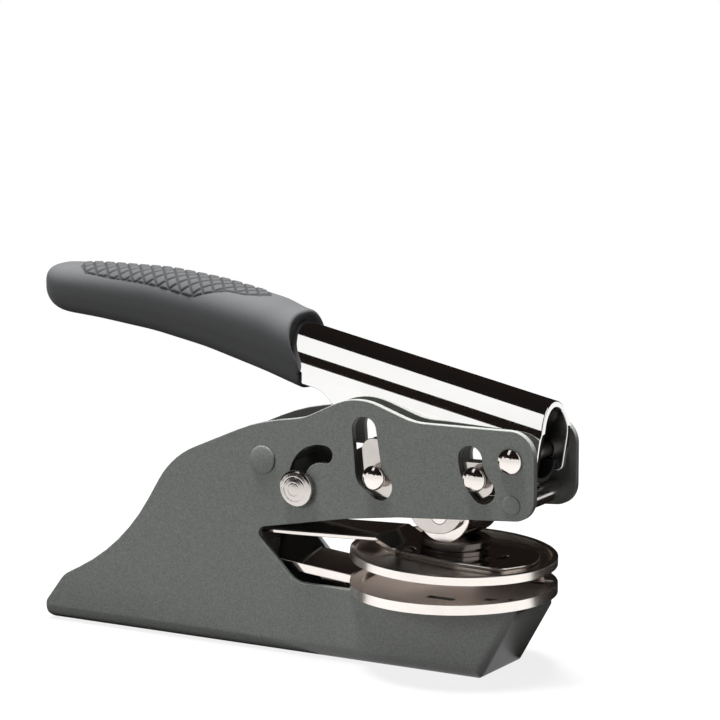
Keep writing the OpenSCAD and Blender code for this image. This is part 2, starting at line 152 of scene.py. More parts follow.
def floorMaterial():
    mat = bpy.data.materials.new("paleFloor")
    tree = emptyTree(mat)
    out = tree.nodes.new("ShaderNodeOutputMaterial")
    white = tree.nodes.new("ShaderNodeEmission")
    white.inputs["Color"].default_value = (1, 1, 1, 1)
    white.inputs["Strength"].default_value = 1.0
    matte = tree.nodes.new("ShaderNodeBsdfDiffuse")
    seen = rayKind(tree)
    # plain white further away, shadows only near the press
    away = tree.nodes.new("ShaderNodeVectorMath")
    away.operation = "LENGTH"
    tree.links.new(tree.nodes.new("ShaderNodeTexCoord").outputs["Object"], away.inputs[0])
    plain = mapRange(tree, away.outputs["Value"], *studio["shadowReach"], to=(studio["floorShare"], 1.0))
    # pale where it is looked at, dark where it would only throw light back up
    tone = mixColours(tree, seen, [studio["bounceTone"]] * 3, [studio["floorTone"]] * 3)
    tree.links.new(tone, matte.inputs["Color"])
    mix = tree.nodes.new("ShaderNodeMixShader")
    tree.links.new(mathNode(tree, "MULTIPLY", seen, plain), mix.inputs["Fac"])
    tree.links.new(matte.outputs[0], mix.inputs[1])
    tree.links.new(white.outputs[0], mix.inputs[2])
    tree.links.new(mix.outputs[0], out.inputs["Surface"])
    return mat


def paleFloor():
    size = studio["floorSize"]
    mesh = bpy.data.meshes.new("floor")
    mesh.from_pydata([(-size, -size, 0), (size, -size, 0), (size, size, 0), (-size, size, 0)], [], [(0, 1, 2, 3)])
    floor = placed("floor", mesh)
    mesh.materials.append(floorMaterial())


def softLight(name, place, aim, size, power):
    data = bpy.data.lights.new(name, "AREA")
    data.shape, data.size, data.size_y, data.energy = "RECTANGLE", size[0], size[1], power
    lamp = placed(name, data)
    lamp.visible_glossy = False     # polished metal shows the cards and the pale room only
    way = Vector(aim) - Vector(place)
    lamp.matrix_world = Matrix.Translation(Vector(place)) @ way.to_track_quat("-Z", "Y").to_matrix().to_4x4()


def glowMaterial(name, shade):
    mat = bpy.data.materials.new(name)
    tree = emptyTree(mat)
    out = tree.nodes.new("ShaderNodeOutputMaterial")
    glow = tree.nodes.new("ShaderNodeEmission")
    glow.inputs["Color"].default_value = (*shade, 1)
    tree.links.new(glow.outputs[0], out.inputs["Surface"])
    return mat


def polishedOnly(card):
    # only polished metal sees the card
    card.visible_camera = card.visible_diffuse = card.visible_shadow = card.visible_transmission = False


def flatten(mesh, near, far):
    # lays the card on the floor as a sector from the near to the far radius
    up = studio["cardGrid"][1]
    for i, v in enumerate(mesh.vertices):
        way, share = np.arctan2(v.co.x, -v.co.y), (i % up) / (up - 1)
        radius = near + (far - near) * share ** 2
        v.co = (radius * np.sin(way), -radius * np.cos(way), studio["flatHeight"])


def darkFlag(name, azimuths, heights, reach, shade=studio["dark"], flat=None):
    # a curved dark card: a patch of a ball round the press, where azimuth 0 is towards -Y,
    # 90 towards +X, and the heights are angles above the horizon
    along, up = studio["cardGrid"]
    az = np.radians(np.linspace(*azimuths, along))[:, None]
    el = np.radians(np.linspace(*heights, up))[None, :]
    x = reach * np.sin(az) * np.cos(el)
    y = -reach * np.cos(az) * np.cos(el)
    z = reach * np.sin(el) + 0 * az + studio["cardHeight"]
    corners = np.stack([x, y, z], axis=-1).reshape(-1, 3)
    grid = np.arange(along * up).reshape(along, up)
    faces = np.stack([grid[:-1, :-1], grid[1:, :-1], grid[1:, 1:], grid[:-1, 1:]], axis=-1).reshape(-1, 4)
    mesh = bpy.data.meshes.new(name)
    mesh.from_pydata(corners.tolist(), [], faces.tolist())
    card = placed(name, mesh)
    mesh.materials.append(glowMaterial(name, shade))
    if flat:
        flatten(mesh, *flat)
    polishedOnly(card)


def softCard(name, acrossX, upZ, y, shade):
    # a small glowing card upright behind the dies, seen only by polished metal: it puts a painted warm reflection
    # onto the lower die
    mesh = bpy.data.meshes.new(name)
    (a, b), (c, d) = acrossX, upZ
    mesh.from_pydata([(a, y, c), (b, y, c), (b, y, d), (a, y, d)], [], [(0, 1, 2, 3)])
    card = placed(name, mesh)
    mesh.materials.append(glowMaterial(name, shade))
    polishedOnly(card)


paleWorld()
paleFloor()
for lampName, lampSetting in studio["lamps"].items():
    softLight(lampName, *lampSetting)
darkFlag("ceilingFlag", (-180, 180), (65, 90), 2.4, (0.010, 0.008, 0.008))
darkFlag("backFlag", (120, 300), (-1, 68), 2.5)
darkFlag("frontFlag", (-110, 60), (7.5, 27), 2.6)
# painted warm reflection on the lower die, from a glowing card
softCard("lowGlow", (-0.085, -0.024), (0.029, 0.0425), 0.06, (0.80, 0.68, 0.61))
darkFlag("leftFlag", (-150, -33), (26.5, 50), 2.55)
darkFlag("leftHighFlag", (-150, -47), (49, 66), 2.52)
darkFlag("rightFlag", (-19, 75), (26, 66), 2.58)
darkFlag("floorFlag", (114, 287), (1, 2), 1.0, (0.016, 0.012, 0.010), flat=(0.02, 0.32))
print("studio lit")


# shared effects, each a node group with its own inputs
def effectGroup(name, inputs, outputs):
    group = bpy.data.node_groups.new(name, "ShaderNodeTree")
    for label, kind, value in inputs:
        socket = group.interface.new_socket(name=label, in_out="INPUT", socket_type=kind)
        if value is not None:
            socket.default_value = value
    for label, kind in outputs:
        group.interface.new_socket(name=label, in_out="OUTPUT", socket_type=kind)
    return group, group.nodes.new("NodeGroupInput"), group.nodes.new("NodeGroupOutput")


def noiseNode(tree, scale, detail, place, rough=0.5):
    node = tree.nodes.new("ShaderNodeTexNoise")
    node.inputs["Detail"].default_value = detail
    node.inputs["Roughness"].default_value = rough
    if isinstance(scale, (int, float)):
        node.inputs["Scale"].default_value = scale
    else:
        tree.links.new(scale, node.inputs["Scale"])
    tree.links.new(place, node.inputs["Vector"])
    return node.outputs["Fac"]


def speckleEffect():
    # two sizes of noise added: flecks of the powder and the slow orange peel under them
    group, entry, end = effectGroup(
        "powderSpeckle", [("Fleck Scale", "NodeSocketFloat", 2600.0), ("Peel Scale", "NodeSocketFloat", 700.0)],
        [("Fleck", "NodeSocketFloat"), ("Height", "NodeSocketFloat")])
    place = group.nodes.new("ShaderNodeTexCoord").outputs["Object"]
    fleck = noiseNode(group, entry.outputs["Fleck Scale"], 2.0, place, 0.6)
    peel = noiseNode(group, entry.outputs["Peel Scale"], 3.0, place, 0.6)
    high = mathNode(group, "ADD", mathNode(group, "MULTIPLY", fleck, 0.5), mathNode(group, "MULTIPLY", peel, 0.5))
    group.links.new(fleck, end.inputs["Fleck"])
    group.links.new(high, end.inputs["Height"])
    return group


def smudgeEffect():
    # slow noise that lifts the roughness in soft patches
    group, entry, end = effectGroup(
        "handlingSmudge", [("Patch Scale", "NodeSocketFloat", 60.0), ("Base Roughness", "NodeSocketFloat", 0.1),
                           ("Spread", "NodeSocketFloat", 0.1)],
        [("Roughness", "NodeSocketFloat"), ("Patch", "NodeSocketFloat")])
    place = group.nodes.new("ShaderNodeTexCoord").outputs["Object"]
    patch = noiseNode(group, entry.outputs["Patch Scale"], 4.0, place, 0.65)
    lift = mathNode(group, "MULTIPLY", patch, entry.outputs["Spread"])
    rough = mathNode(group, "ADD", lift, entry.outputs["Base Roughness"])
    group.links.new(rough, end.inputs["Roughness"])
    group.links.new(patch, end.inputs["Patch"])
    return group


def scuffEffect():
    # noise stretched along X, as fine rolling marks of sheet metal
    group, entry, end = effectGroup(
        "rollingMarks", [("Across Scale", "NodeSocketFloat", 3500.0)], [("Mark", "NodeSocketFloat")])
    place = group.nodes.new("ShaderNodeTexCoord").outputs["Object"]
    squeeze = group.nodes.new("ShaderNodeVectorMath")
    squeeze.operation = "MULTIPLY"
    squeeze.inputs[1].default_value = (0.04, 1.0, 1.0)
    group.links.new(place, squeeze.inputs[0])
    mark = noiseNode(group, entry.outputs["Across Scale"], 2.0, squeeze.outputs[0], 0.7)
    group.links.new(mark, end.inputs["Mark"])
    return group


speckle, smudge, scuff = speckleEffect(), smudgeEffect(), scuffEffect()


def placeGroup(tree, group, **values):
    node = tree.nodes.new("ShaderNodeGroup")
    node.node_tree = group
    for label, value in values.items():
        node.inputs[label.replace("_", " ")].default_value = value
    return node


def startMaterial(name):
    mat = bpy.data.materials.new(name)
    mat.use_nodes = True
    tree = mat.node_tree
    return mat, tree, tree.nodes["Principled BSDF"]


def addBump(tree, shader, height, depth, strength=1.0):
    bump = tree.nodes.new("ShaderNodeBump")
    bump.inputs["Distance"].default_value = depth
    bump.inputs["Strength"].default_value = strength
    tree.links.new(height, bump.inputs["Height"])
    tree.links.new(bump.outputs["Normal"], shader.inputs["Normal"])


def shadeAndDull(tree, colour, dark):
    # the colour goes over to the dark one where the "inner" attribute is 1: painted shade on most parts, a duller
    # finish on the knob
    inner = tree.nodes.new("ShaderNodeAttribute")
    inner.attribute_name = "inner"
    dull = tree.nodes.new("ShaderNodeMix")
    dull.data_type = "RGBA"
    dull.inputs["B"].default_value = (*dark, 1)
    tree.links.new(colour, dull.inputs["A"])
    tree.links.new(inner.outputs["Fac"], dull.inputs["Factor"])
    return dull.outputs["Result"], inner.outputs["Fac"]


inside = {
    # painted shade: what each kind of finish goes over to where the "inner" attribute is 1; the knob takes a little
    # of the metal one as its duller finish
    "paint": (0.015, 0.014, 0.013), "metal": (0.10, 0.095, 0.09), "rubber": (0.008, 0.008, 0.008),
    "roughness": 0.3,               # and how much rougher metal gets there
}


def powderCoat(name, dark, light):
    mat, tree, shader = startMaterial(name)
    powder = placeGroup(tree, speckle)
    coat = mixColours(tree, mapRange(tree, powder.outputs["Fleck"], 0.36, 0.66), dark, light)
    # painted shade on the plates' inner faces and the slot edges
    tree.links.new(shadeAndDull(tree, coat, inside["paint"])[0], shader.inputs["Base Color"])
    worn = placeGroup(tree, smudge, Patch_Scale=35.0, Base_Roughness=0.34, Spread=0.12)
    tree.links.new(worn.outputs["Roughness"], shader.inputs["Roughness"])
    shader.inputs["Specular IOR Level"].default_value = 0.38
    addBump(tree, shader, powder.outputs["Height"], 0.00006, 0.8)   # orange peel, 0.06 mm deep
    return mat


def plating(name, tone, shade, base, spread, marks=0.0):
    mat, tree, shader = startMaterial(name)
    shader.inputs["Metallic"].default_value = 1.0
    worn = placeGroup(tree, smudge, Patch_Scale=90.0, Base_Roughness=base, Spread=spread)
    bright = mixColours(tree, mapRange(tree, worn.outputs["Patch"], 0.3, 0.75), tone, shade)
    # painted shade inside the lever, on the ear, in the slots and on the shanks; a duller finish on the knob
    metal, inner = shadeAndDull(tree, bright, inside["metal"])
    tree.links.new(metal, shader.inputs["Base Color"])
    rougher = mathNode(tree, "MULTIPLY", inner, inside["roughness"])
    rough = mathNode(tree, "ADD", worn.outputs["Roughness"], rougher)
    tree.links.new(rough, shader.inputs["Roughness"])
    if marks:
        rolled = placeGroup(tree, scuff)
        addBump(tree, shader, rolled.outputs["Mark"], marks, 0.6)
    return mat


def rubberSkin(name, dark, light, rough):
    mat, tree, shader = startMaterial(name)
    powder = placeGroup(tree, speckle, Fleck_Scale=5200.0, Peel_Scale=1500.0)
    skin = mixColours(tree, mapRange(tree, powder.outputs["Fleck"], 0.3, 0.7), dark, light)
    # painted shade in the grip's grooves
    tree.links.new(shadeAndDull(tree, skin, inside["rubber"])[0], shader.inputs["Base Color"])
    worn = placeGroup(tree, smudge, Patch_Scale=40.0, Base_Roughness=rough, Spread=0.12)
    tree.links.new(worn.outputs["Roughness"], shader.inputs["Roughness"])
    shader.inputs["Specular IOR Level"].default_value = 0.2
    addBump(tree, shader, powder.outputs["Height"], 0.00003, 0.6)   # moulded grain, 0.03 mm deep
    return mat


finishes = {
    # two tones each, then roughness and its spread, then the depth of the rolling marks in metres
    "shell_paint": powderCoat("greyPowderCoat", (0.082, 0.087, 0.082), (0.128, 0.133, 0.126)),
    "mirror_chrome": plating("mirrorChrome", (0.96, 0.955, 0.945), (0.92, 0.91, 0.895), 0.03, 0.05),
    "nickel": plating("brightNickel", (0.86, 0.80, 0.76), (0.74, 0.69, 0.65), 0.05, 0.08, 0.000002),
    "plain_steel": plating("plainSteel", (0.74, 0.72, 0.70), (0.60, 0.58, 0.55), 0.14, 0.16, 0.000006),
    "die_nickel": plating("dieNickel", (0.90, 0.85, 0.80), (0.83, 0.77, 0.725), 0.20, 0.10, 0.000003),
    "dark_button": plating("darkButton", (0.20, 0.18, 0.165), (0.13, 0.12, 0.11), 0.12, 0.10),
    "bumper": rubberSkin("blackBumper", (0.012, 0.012, 0.012), (0.02, 0.02, 0.02), 0.35),
    "grip_rubber": rubberSkin("charcoalRubber", (0.030, 0.0305, 0.0315), (0.042, 0.0425, 0.0435), 0.46),
}
print("finishes made")

easedEdges = {
    # node: (body, slot, edge radius in mm, steps, corners nearer than this many mm are joined)
    "body_shell": ("shell", "shell_paint", 0.2, 3, 0.06),
    "lever_channel": ("handle", "mirror_chrome", 0.36, 4, 0.05),
    "front_bumper": ("handle", "bumper", 0.15, 2),
    "link_near": ("press_link", "nickel", 0.2, 2, 0.05),
    "link_far": ("press_link", "nickel", 0.2, 2, 0.05),
    "press_roller": ("roller", "nickel", 0.35, 3),
    "lower_disc": ("insert", "die_nickel", 0.3, 3),
    "upper_disc": ("die_arm", "die_nickel", 0.3, 3),
    "lower_arm": ("insert", "nickel", 0.3, 2),
    "upper_arm": ("die_arm", "nickel", 0.34, 4, 0.05),
    "heel_block": ("insert", "plain_steel", 0.3, 2),
    "arm_root": ("insert", "nickel", 0.2, 2),
    "boss_flange": ("die_arm", "dark_button", 0.15, 2),
    "button": ("die_arm", "dark_button", 0.25, 3),
    "lock_washer": ("lock", "plain_steel", 0.15, 2),
}

lever = {
    "front": 32.5, "top": 80.4, "fall": 11.1,   # the back's height at the front end, and its fall in degrees
    "rise": 12.5,                   # height of the egg-shaped back
    "middle": (8.0, 10.9),          # half width and rise of the middle line of its wall
}


def leverBack(x):
    # height of the lever's straight back at x
    return lever["top"] + (lever["front"] - x) * np.tan(np.radians(lever["fall"]))


def leverInsideShade(at, normal):
    # painted shade within the middle line of the lever's egg-shaped wall, inside the lever where light hardly reaches
    high = at[:, 2] - leverBack(at[:, 0]) + lever["rise"]
    halfY, rise = lever["middle"]
    within = (at[:, 1] / halfY) ** 2 + (np.maximum(high, 0) / rise) ** 2 < 1
    return 0.8 * within * (np.abs(normal[:, 0]) < 0.7)


slotReach = 25.5                    # the die slots lie within this radius of the plate's middle
endHole = {"x": 15.7, "reach": 3.2}     # the oblong hole near the front of the end plate
slotBoxes = ((-27, -11, 47.5, 73), (8, 22, 49, 71), (-47, -25.5, 46, 64))   # x and z round the shell's slots


def slotWallShade(at, normal):
    # painted shade on the upright walls of the die slots, well inside the rim
    return (np.abs(normal[:, 2]) < 0.5) & (np.hypot(at[:, 0], at[:, 1]) < slotReach)


def holeWallShade(at, normal):
    # painted shade on the upright walls of the oblong hole
    return (np.abs(normal[:, 2]) < 0.6) & (np.hypot(at[:, 0] - endHole["x"], at[:, 1]) < endHole["reach"])


def shellInsideShade(at, normal):
    # painted shade on the inner faces of the side plates, and a little more on the cut edges of the slots
    inward = (np.abs(at[:, 1]) < 12.4) & (at[:, 1] * normal[:, 1] < -3)
    x, z = at[:, 0], at[:, 2]
    slot = np.any([(x > a) & (x < b) & (z > c) & (z < d) for a, b, c, d in slotBoxes], axis=0)
    return 0.55 * inward + 0.8 * (slot & (np.abs(normal[:, 1]) < 0.3))


def linkEarShade(at, normal):
    # painted shade on the flat of the ear, darker than its edges, for the shade behind the side plate
    return 0.3 * (np.abs(normal[:, 1]) > 0.9)


# faces that get painted shade where little light reaches them
paintedShadeFaces = {"link_near": linkEarShade, "body_shell": shellInsideShade, "lever_channel": leverInsideShade,
             "lower_disc": slotWallShade, "upper_arm": holeWallShade}


def tagInner(mesh, test):
    # writes what the test gives for a face on every corner of it: 0 as lit, 1 in full painted shade, dull and dark
    at = np.array([f.center[:] for f in mesh.polygons]) / mm
    normal = np.array([f.normal[:] for f in mesh.polygons])
    amount = test(at, normal)
    tag = mesh.attributes.new("inner", "FLOAT", "CORNER")
    tag.data.foreach_set("value", np.repeat(amount, [f.loop_total for f in mesh.polygons]).astype(float))


def tagPoints(mesh, values):
    tag = mesh.attributes.new("inner", "FLOAT", "POINT")
    tag.data.foreach_set("value", np.asarray(values, float))


easing = {"weld": 0.001, "flat": 0.4, "corner": 28}     # mm, then the angles in degrees


def easedPiece(node, body, slotName, radius, steps, join=None):
    # a merged copy of the node with its flat faces joined, its edges rounded and its normals weighted;
    # where near corners were joined, the rounding needs no clamp
    source = nodes[node]
    work = bmesh.new()
    work.from_mesh(source.data)
    work.transform(source.matrix_world)
    bmesh.ops.remove_doubles(work, verts=work.verts, dist=(join or easing["weld"]) * mm)
    bmesh.ops.dissolve_limit(work, angle_limit=np.radians(easing["flat"]), verts=work.verts, edges=work.edges)
    work.verts.index_update()
    corners = [tuple(v.co) for v in work.verts]
    faces = [[v.index for v in f.verts] for f in work.faces]
    work.free()
    mesh = bpy.data.meshes.new(node + "Eased")
    mesh.from_pydata(corners, [], faces)
    mesh.shade_smooth()
    if node in paintedShadeFaces:
        tagInner(mesh, paintedShadeFaces[node])
    mesh.materials.append(finishes[slotName])
    piece = placed(node + "Eased", mesh)
    bevel = piece.modifiers.new("edges", "BEVEL")
    bevel.width, bevel.segments, bevel.limit_method = radius * mm, steps, "ANGLE"
    bevel.angle_limit, bevel.use_clamp_overlap = np.radians(easing["corner"]), join is None
    bevel.harden_normals = True
    weigh = piece.modifiers.new("normals", "WEIGHTED_NORMAL")
    weigh.keep_sharp = True
    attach(piece, body)
    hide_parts(node)


grip = {
    # x, top, bottom and width of the grip along its length, in mm
    "sections": ((-160, 105.2, 95.4, 15.0), (-141, 106.9, 93.7, 17.0), (-134.5, 107.3, 93.0, 18.0),
                 (-118, 107.7, 91.9, 20.0), (-98, 107.9, 89.7, 21.2), (-80, 106.1, 86.4, 22.0),
                 (-62, 103.0, 81.6, 22.0), (-41, 98.4, 75.7, 22.0), (-20, 93.8, 69.9, 22.0)),
    "squareness": 2.7,
    "tip": (-138.1, -126.5, 101.6),    # rear end, where the rounding starts, height of the tip
    # powers that round the top, the underside and the half width off towards the tip
    "tipPowers": ((5.0, 2.5), (3.0, 2.0), (3.0, 2.4)),
    "typical": (10.7, 9.2),            # half width and height that the points are spread over
    "front": -46.4,
    "frontFade": 14,                   # length over which the front edge's curve comes in
    # front edge of the rubber: x at a height, before the lip
    "frontEdge": ((70, -47.9), (76, -47.8), (79, -47.4), (82, -46.9), (85.7, -46.7), (88, -47.6),
                  (90, -48.6), (92, -49.4), (94, -50.0), (98, -50.6), (104, -50.8), (110, -50.8)),
    "lip": 1.1,
    "mouth": (9.65, 12.55),            # half width and rise of the opening round the lever
    "pocket": ((0, 0, 0), (-0.4, 0, 0), (-2, 0, 0.35), (-6, 0, 1.15)),   # the skin's way in behind the mouth
    "scaleAlong": 4.1, "scaleAround": 5.4, "scaleHeight": 0.5, "groove": 0.42,
    # half width of the scaled patch round the back of the grip, at x
    "patch": ((-126.5, -0.5), (-124.6, 4.5), (-121, 8.0), (-112, 9.2), (-98, 10.2), (-82, 11.4),
              (-77.5, 9.0), (-72, 6.0), (-67, 5.3), (-63, 3.2), (-60.5, -0.5)),
    "stations": 330, "around": 250,
}


def smooth01(t):
    t = np.clip(t, 0, 1)
    return t * t * (3 - 2 * t)


def curveThrough(xs, points, column):
    # a smooth line through the listed values: straight runs blurred over 12 mm
    table = np.array(points, float)
    shifts = np.linspace(-6, 6, 25)
    weights = np.exp(-(shifts / 3.6) ** 2)
    values = np.interp(xs[:, None] + shifts[None, :], table[:, 0], table[:, column])
    return (values * weights).sum(axis=1) / weights.sum()


def meshFromGrid(name, rows, closeLastTo=None, closeFirstTo=None):
    # quads between neighbouring rings of points, with each open end closed to one point
    count, around = rows.shape[:2]
    grid = np.arange(count * around).reshape(count, around)
    side = np.roll(grid, -1, axis=1)
    faces = np.stack([grid[:-1], side[:-1], side[1:], grid[1:]], axis=-1).reshape(-1, 4).tolist()
    corners = rows.reshape(-1, 3)
    if closeFirstTo is not None:
        corners = np.vstack([corners, closeFirstTo])
        faces += np.stack([np.full(around, len(corners) - 1), side[0], grid[0]], axis=-1).tolist()
    if closeLastTo is not None:
        corners = np.vstack([corners, closeLastTo])
        faces += np.stack([grid[-1], side[-1], np.full(around, len(corners) - 1)], axis=-1).tolist()
    mesh = bpy.data.meshes.new(name)
    mesh.from_pydata((corners * mm).tolist(), [], faces)
    mesh.shade_smooth()
    return placed(name, mesh)


def scalePattern(along, girth, limit):
    # tiles of a skewed square grid: height rises from the groove to a flat back that leans forward
    a = along / grip["scaleAlong"] + girth / grip["scaleAround"]
    b = along / grip["scaleAlong"] - girth / grip["scaleAround"]
    fa, fb = a - np.floor(a), b - np.floor(b)
    pitch = 1 / np.hypot(1 / grip["scaleAlong"], 1 / grip["scaleAround"])
    edge = np.minimum(np.minimum(fa, 1 - fa), np.minimum(fb, 1 - fb)) * pitch
    margin = (limit - np.abs(girth)) * 0.8
    edge = np.minimum(edge, margin + grip["groove"] * 0.5)
    lean = 0.72 + 0.28 * (fa + fb) / 2
    return smooth01((edge - grip["groove"] * 0.32) / grip["groove"]) * lean


def squared(t):
    # sine or cosine raised so that a circle becomes a rounded square
    return np.sign(t) * np.abs(t) ** (2 / grip["squareness"])


def ringAngles():
    # angles of a ring's points, evenly along its outline but closer on the scaled back
    dense = np.linspace(0, 2 * np.pi, 6001)
    shapeY = squared(np.sin(dense)) * grip["typical"][0]
    shapeZ = squared(np.cos(dense)) * grip["typical"][1]
    run = np.concatenate([[0], np.cumsum(np.hypot(np.diff(shapeY), np.diff(shapeZ)))])
    share = np.linspace(-0.5, 0.5, grip["around"] + 1)[:-1]
    share = np.roll(0.42 * share + 0.58 * share * (2 * np.abs(share)) ** 1.2, grip["around"] // 2) % 1
    turn = np.interp(share * run[-1], run, dense)
    return np.sin(turn), np.cos(turn)


def plainRings(sinT, cosT):
    # a ring is a rounded square |y/w|^n + |z/h|^n = 1; ring after ring follows the grip's side view,
    # shrinks to a point at the rear like an uneven egg and meets the curved front edge
    rear, start, tipZ = grip["tip"]
    front = grip["front"]
    ease = np.linspace(0, np.pi / 2, 40)[1:]
    x = np.concatenate([rear + (start - rear) * (1 - np.cos(ease)),
                        np.linspace(start, front, grip["stations"])[1:]])
    into = np.clip((start - x) / (start - rear), 0, 1)
    top, bottom = curveThrough(x, grip["sections"], 1), curveThrough(x, grip["sections"], 2)
    half = curveThrough(x, grip["sections"], 3) / 2
    fadeTop, fadeBottom, fadeHalf = [(1 - into ** inner) ** (1 / outer) for inner, outer in grip["tipPowers"]]
    top = tipZ + (top - tipZ) * fadeTop
    bottom = tipZ - (tipZ - bottom) * fadeBottom
    y = (half * fadeHalf)[:, None] * -squared(sinT)[None, :]
    z = (top + bottom)[:, None] / 2 + (top - bottom)[:, None] / 2 * squared(cosT)[None, :]

    # the front edge runs back at the shoulders and forward low on the sides
    height = z[-1]
    edge = np.array(grip["frontEdge"])
    curve = np.mean([np.interp(height + d, edge[:, 0], edge[:, 1]) for d in (-1, -0.5, 0, 0.5, 1)], axis=0) - front
    pull = smooth01((x - (front - grip["frontFade"])) / grip["frontFade"])
    xs = x[:, None] + pull[:, None] * curve[None, :]
    return x, np.stack([xs, y, z], axis=-1)


def scaledRings(x, rings):
    # the scales stand out along the surface's normal on the back of the grip; painted shade darkens the grooves, and
    # the scales are a little darker too
    step = np.linalg.norm(np.diff(np.concatenate([rings, rings[:, :1]], axis=1), axis=1), axis=2)
    total = step.sum(axis=1, keepdims=True)
    girth = np.concatenate([np.zeros((len(x), 1)), np.cumsum(step, axis=1)[:, :-1]], axis=1)
    girth = np.where(girth > total / 2, girth - total, girth)
    patch = np.array(grip["patch"])
    limit = np.interp(x, patch[:, 0], patch[:, 1], left=-1, right=-1)[:, None]
    tiles = scalePattern(rings[:, :, 0], girth, limit) * grip["scaleHeight"]
    tiles = np.where(limit - np.abs(girth) > -0.4, tiles, 0)
    along = np.gradient(rings, axis=0)
    across = np.roll(rings, -1, axis=1) - np.roll(rings, 1, axis=1)
    normal = np.cross(across, along)
    normal /= np.linalg.norm(normal, axis=2, keepdims=True) + 1e-9
    middle = rings[:, :, 1:].mean(axis=1, keepdims=True)
    outward = np.sign((normal[:, :, 1:] * (rings[:, :, 1:] - middle)).sum())
    flatness = np.clip(tiles / grip["scaleHeight"] / 0.8, 0, 1)
    shade = np.where(limit - np.abs(girth) > -0.2, 0.72 - 0.5 * flatness, 0.0)
    return rings + normal * outward * tiles[:, :, None], shade


def lipRings(last, sinT, cosT):
    # the last ring rolls in to the lever's outline and back into the pocket
    crown = leverBack(last[:, 0])
    halfY, rise = grip["mouth"]
    upper = cosT > 0
    innerY = np.where(upper, -halfY * sinT, -halfY * np.sign(sinT) * np.abs(sinT) ** 0.25)
    innerZ = crown - rise + np.where(upper, rise * cosT, -0.9 * np.abs(cosT) ** 0.25)
    inner = np.stack([last[:, 0], innerY, innerZ], axis=-1)
    gap = inner - last
    width = np.linalg.norm(gap, axis=1, keepdims=True)
    toward = gap / (width + 1e-9)
    lip = np.minimum(grip["lip"], width * 0.8)
    forward = np.array([1, 0, 0])
    roll = np.linspace(0, np.pi / 2, 7)[1:]
    rolled = [last + toward * lip * (1 - np.cos(t)) + forward * lip * np.sin(t) for t in roll]
    mouth = inner + forward * (lip - 0.15)
    pocket = [mouth + way for way in grip["pocket"]]
    deep = np.array([grip["front"] - 8.5, 0, crown.mean() - rise + 4])
    return np.concatenate([np.array(rolled), np.array(pocket)]), deep


def makeGrip():
    sinT, cosT = ringAngles()
    rings, shade = scaledRings(*plainRings(sinT, cosT))
    lip, deep = lipRings(rings[-1], sinT, cosT)
    rings = np.concatenate([rings, lip])
    shade = np.vstack([shade, np.zeros(lip.shape[:2])])
    rear, _, tipZ = grip["tip"]
    tip = np.array([rear, 0, tipZ])
    piece = meshFromGrid("gripSkin", rings[:, ::-1], closeLastTo=deep, closeFirstTo=tip)
    tagPoints(piece.data, np.append(shade[:, ::-1].ravel(), (0, 0)))
    piece.data.materials.append(finishes["grip_rubber"])
    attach(piece, "handle")
    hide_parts("grip")


makeGrip()
print("grip made")

for node, how in easedEdges.items():
    easedPiece(node, *how)
print("edges eased")

shellHalf = 14.0    # half the width over the side plates
pins = {
    # place of the axis, radii of head and shank, and where the heads sit on Y, in mm
    "pivot": {"node": "pivot_pin", "body": "shell", "x": 25.3, "z": 64.9, "head": 3.75, "shank": 2.5,
              "seat": shellHalf},
    "crank": {"node": "crank_pin", "body": "handle", "x": 14.2, "z": 58.7, "head": 3.6, "shank": 2.6,
              "seat": 14.3},
    "guide": {"node": "guide_pin", "body": "press_link", "x": -18.3, "z": 55.7, "head": 3.55, "shank": 2.1,
              "seat": 14.3},
}
headShape = {
    "height": 1.9,
    "crown": 6.5, "edge": 0.9,      # radius of the cap and of its round edge
    "turned": (0.005, 9.0),         # depth of the turned rings and how close they stand
    "rings": 56, "around": 96, "shankAround": 64,
    # how far the shank goes over to painted shade, as it lies between the plates
    "shankDull": 0.8,
}


def turnedRings(radii, heights, x, z, side, seat, around):
    # a profile of radius and height spun about a line along Y: every ring is a circle
    spin = np.linspace(0, 2 * np.pi, around, endpoint=False)
    px = x + radii[:, None] * np.cos(spin)[None, :]
    pz = z + radii[:, None] * np.sin(spin)[None, :]
    py = side * (seat + heights[:, None]) + 0 * spin[None, :]
    rings = np.stack([px, py, pz], axis=-1)
    return rings if side > 0 else rings[:, ::-1]


def lathedPiece(name, radii, heights, x, z, seat, side, slotName, body, node=None, dull=0.0):
    # a profile given from the seat outwards and in to the middle of the face, closed at both ends
    rings = turnedRings(radii, heights, x, z, side, seat, headShape["around"])
    piece = meshFromGrid(name, rings[:, ::-1], closeFirstTo=np.array([x, side * (seat + heights[0]), z]),
                         closeLastTo=np.array([x, side * (seat + heights[-1]), z]))
    piece.data.materials.append(finishes[slotName])
    if dull:
        tagPoints(piece.data, np.full(len(piece.data.vertices), dull))
    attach(piece, body)
    if node:
        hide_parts(node)


def makePinHead(name, pin, side):
    # a shallow ball cap of the crown radius, a round edge of the edge radius, then straight to the seat
    radius = pin["head"]
    high, big, small = headShape["height"], headShape["crown"], headShape["edge"]
    lean = np.arcsin((radius - small) / (big - small))
    cap = np.linspace(0.02, 1, headShape["rings"]) * lean
    edge = np.linspace(lean, np.pi / 2, 14)[1:]
    radii = np.concatenate([big * np.sin(cap), (big - small) * np.sin(lean) + small * np.sin(edge),
                            [radius, radius - 0.3]])
    low = high - big + (big - small) * np.cos(lean)
    heights = np.concatenate([high - big * (1 - np.cos(cap)), low + small * np.cos(edge), [0.0, 0.0]])
    depth, close = headShape["turned"]
    heights += depth * np.cos(radii * close) * smooth01((0.8 * radius - radii) / (0.3 * radius))
    lathedPiece(name, radii[::-1], heights[::-1], pin["x"], pin["z"], pin["seat"], side, "nickel", pin["body"])


